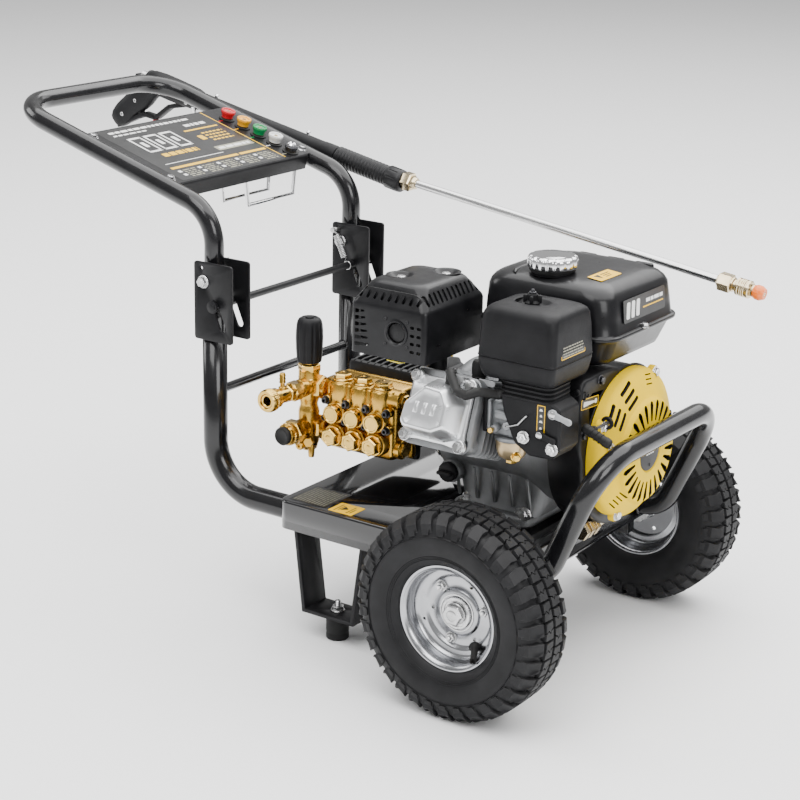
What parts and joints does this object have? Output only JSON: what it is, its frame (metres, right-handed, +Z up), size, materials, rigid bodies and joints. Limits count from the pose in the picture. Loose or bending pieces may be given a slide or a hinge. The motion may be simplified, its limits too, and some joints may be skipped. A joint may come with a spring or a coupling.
{
  "type": "pressure washer",
  "caption": "Petrol pressure washer on a two-wheeled tube frame with folding handle, engine, brass pump, spray gun, lance and spare nozzles.",
  "frame": {"origin": "on the ground under the middle of the machine's bounding box", "axes": "+X forwards from the handle to the wheels, +Z up, +Y the side where the spray gun rests"},
  "size_m": [1.0966, 0.549, 0.6477],
  "materials": {
    "frame_paint": "gloss",
    "black_steel": "satin",
    "zinc": "satin",
    "chrome": "polished",
    "stainless": "polished",
    "cast_aluminium": "cast",
    "brass": "machined",
    "black_plastic": "matte",
    "gloss_black": "gloss",
    "black_rubber": "matte",
    "tyre_rubber": "matte",
    "yellow_paint": "gloss",
    "red_plastic": "gloss",
    "yellow_plastic": "gloss",
    "green_plastic": "gloss",
    "white_plastic": "gloss",
    "orange_plastic": "gloss",
    "iron": "cast",
    "filter_foam": "matte",
    "rope": "matte",
    "grey_plastic": "matte"
  },
  "bodies": {
    "frame": {"frame_tubes": "frame_paint", "front_bumper": "frame_paint", "tray": "frame_paint", "fold_brackets": "frame_paint", "stand_legs": "frame_paint", "stand_feet": "black_rubber", "axle": "zinc", "frame_bolts": "zinc", "lock_springs": "zinc", "crankcase": "cast_aluminium", "cylinder": "cast_aluminium", "head_cover": "cast_aluminium", "fan_housing": "black_steel", "recoil_cover": "yellow_paint", "muffler": "iron", "muffler_shield": "black_steel", "carburettor": "cast_aluminium", "air_cleaner_base": "black_plastic", "air_filter": "filter_foam", "fuel_tank": "black_steel", "spark_lead": "black_rubber", "pump_crankcase": "iron", "pump_head": "brass", "pump_caps": "brass", "unloader_body": "brass", "outlet_coupler": "brass"},
    "wheel_near": {"tyre_near": "tyre_rubber", "rim_near": "zinc"},
    "wheel_far": {"tyre_far": "tyre_rubber", "rim_far": "zinc"},
    "handle": {"handle_tube": "frame_paint", "nozzle_panel": "frame_paint", "nozzle_grommets": "black_rubber", "wire_hooks": "chrome"},
    "lock_bar": {"lock_bar": "black_steel"},
    "gun": {"gun_body": "black_plastic", "gun_sleeve": "black_plastic", "lance": "stainless"},
    "gun_trigger": {"gun_trigger": "black_plastic"},
    "tip_sleeve": {"tip_sleeve": "brass"},
    "tip_nozzle": {"tip_nozzle": "orange_plastic"},
    "nozzle_red": {"nozzle_red": "red_plastic"},
    "nozzle_yellow": {"nozzle_yellow": "yellow_plastic"},
    "nozzle_green": {"nozzle_green": "green_plastic"},
    "nozzle_white": {"nozzle_white": "white_plastic"},
    "nozzle_black": {"nozzle_black": "iron"},
    "crankshaft": {"crankshaft": "iron"},
    "starter_pulley": {"starter_pulley": "black_plastic"},
    "starter_grip": {"starter_grip": "black_plastic", "starter_rope": "rope"},
    "air_cleaner_cover": {"air_cleaner_cover": "gloss_black"},
    "air_cleaner_knob": {"air_cleaner_knob": "black_plastic"},
    "fuel_cap": {"fuel_cap": "chrome"},
    "oil_filler_cap": {"oil_filler_cap": "black_plastic"},
    "choke_lever": {"choke_lever": "grey_plastic"},
    "fuel_lever": {"fuel_lever": "black_plastic"},
    "throttle_lever": {"throttle_lever": "black_plastic"},
    "unloader_knob": {"unloader_knob": "black_plastic"},
    "coupler_collar": {"coupler_collar": "brass"},
    "inlet_plug": {"inlet_plug": "black_plastic"}
  },
  "joints": [
    {"name": "wheel_near_spin", "type": "hinge", "parent": "frame", "child": "wheel_near", "pos_m": [0.3737, -0.232, 0.13], "axis": [0, 1, 0], "continuous": true},
    {"name": "wheel_far_spin", "type": "hinge", "parent": "frame", "child": "wheel_far", "pos_m": [0.3737, 0.232, 0.13], "axis": [0, 1, 0], "continuous": true},
    {"name": "handle_fold", "type": "hinge", "parent": "frame", "child": "handle", "pos_m": [-0.0723, 0, 0.447], "axis": [0, -1, 0], "range_deg": [0, 84]},
    {"name": "lock_bar_slide", "type": "slide", "parent": "frame", "child": "lock_bar", "axis": [0.4067, 0, -0.9135], "range_m": [0, 0.03], "stiffness_N_per_m": 600, "springref_m": -0.02, "deforming": ["lock_springs"]},
    {"name": "gun_lift_off", "type": "slide", "parent": "handle", "child": "gun", "axis": [0, 0, 1], "range_m": [0, 0.12]},
    {"name": "trigger_pull", "type": "hinge", "parent": "gun", "child": "gun_trigger", "pos_m": [-0.4263, 0.181, 0.5935], "axis": [0, 1, 0], "range_deg": [0, 10], "stiffness_Nm_per_rad": 1.5, "springref_deg": -5.73},
    {"name": "tip_sleeve_slide", "type": "slide", "parent": "gun", "child": "tip_sleeve", "axis": [-0.9912, 0, 0.1323], "range_m": [0, 0.004], "stiffness_N_per_m": 1500, "springref_m": -0.002},
    {"name": "tip_nozzle_pull", "type": "slide", "parent": "gun", "child": "tip_nozzle", "axis": [0.9912, 0, -0.1323], "range_m": [0, 0.03]},
    {"name": "nozzle_red_pull", "type": "slide", "parent": "handle", "child": "nozzle_red", "axis": [0.2773, 0, 0.9608], "range_m": [0, 0.04]},
    {"name": "nozzle_yellow_pull", "type": "slide", "parent": "handle", "child": "nozzle_yellow", "axis": [0.2773, 0, 0.9608], "range_m": [0, 0.04]},
    {"name": "nozzle_green_pull", "type": "slide", "parent": "handle", "child": "nozzle_green", "axis": [0.2773, 0, 0.9608], "range_m": [0, 0.04]},
    {"name": "nozzle_white_pull", "type": "slide", "parent": "handle", "child": "nozzle_white", "axis": [0.2773, 0, 0.9608], "range_m": [0, 0.04]},
    {"name": "nozzle_black_pull", "type": "slide", "parent": "handle", "child": "nozzle_black", "axis": [0.2773, 0, 0.9608], "range_m": [0, 0.04]},
    {"name": "crankshaft_spin", "type": "hinge", "parent": "frame", "child": "crankshaft", "pos_m": [0.3737, -0.002, 0.287], "axis": [1, 0, 0], "continuous": true},
    {"name": "starter_pull", "type": "slide", "parent": "frame", "child": "starter_grip", "axis": [0, -1, 0], "range_m": [0, 0.5], "stiffness_N_per_m": 20, "springref_m": -0.3, "deforming": ["starter_rope"]},
    {"name": "starter_pulley_turn", "type": "hinge", "parent": "frame", "child": "starter_pulley", "pos_m": [0.4637, -0.002, 0.287], "axis": [1, 0, 0], "range_deg": [0, 800]},
    {"name": "air_cover_lift", "type": "slide", "parent": "frame", "child": "air_cleaner_cover", "axis": [0, 0, 1], "range_m": [0, 0.1]},
    {"name": "air_knob_turn", "type": "hinge", "parent": "air_cleaner_cover", "child": "air_cleaner_knob", "pos_m": [0.3957, -0.131, 0.49], "axis": [0, 0, 1], "continuous": true},
    {"name": "fuel_cap_lift", "type": "slide", "parent": "frame", "child": "fuel_cap", "axis": [0, 0, 1], "range_m": [0, 0.06]},
    {"name": "oil_cap_turn", "type": "hinge", "parent": "frame", "child": "oil_filler_cap", "pos_m": [0.2537, -0.08, 0.236], "axis": [0, -1, 0], "continuous": true},
    {"name": "choke_turn", "type": "hinge", "parent": "frame", "child": "choke_lever", "pos_m": [0.4517, -0.17, 0.374], "axis": [0, -1, 0], "range_deg": [0, 60]},
    {"name": "fuel_turn", "type": "hinge", "parent": "frame", "child": "fuel_lever", "pos_m": [0.4357, -0.17, 0.346], "axis": [0, 1, 0], "range_deg": [0, 90]},
    {"name": "throttle_turn", "type": "hinge", "parent": "frame", "child": "throttle_lever", "pos_m": [0.4317, -0.11, 0.372], "axis": [0, -1, 0], "range_deg": [-35, 20]},
    {"name": "pressure_turn", "type": "hinge", "parent": "frame", "child": "unloader_knob", "pos_m": [0.0537, -0.108, 0.38], "axis": [0, 0, 1], "range_deg": [0, 720]},
    {"name": "coupler_collar_slide", "type": "slide", "parent": "frame", "child": "coupler_collar", "axis": [0, 1, 0], "range_m": [0, 0.005], "stiffness_N_per_m": 1500, "springref_m": -0.002},
    {"name": "inlet_plug_pull", "type": "slide", "parent": "frame", "child": "inlet_plug", "axis": [0, -1, 0], "range_m": [0, 0.04]}
  ],
  "couplings": [
    {"joint": "starter_pulley_turn", "follows": "starter_pull", "rad_per_m": 27}
  ]
}
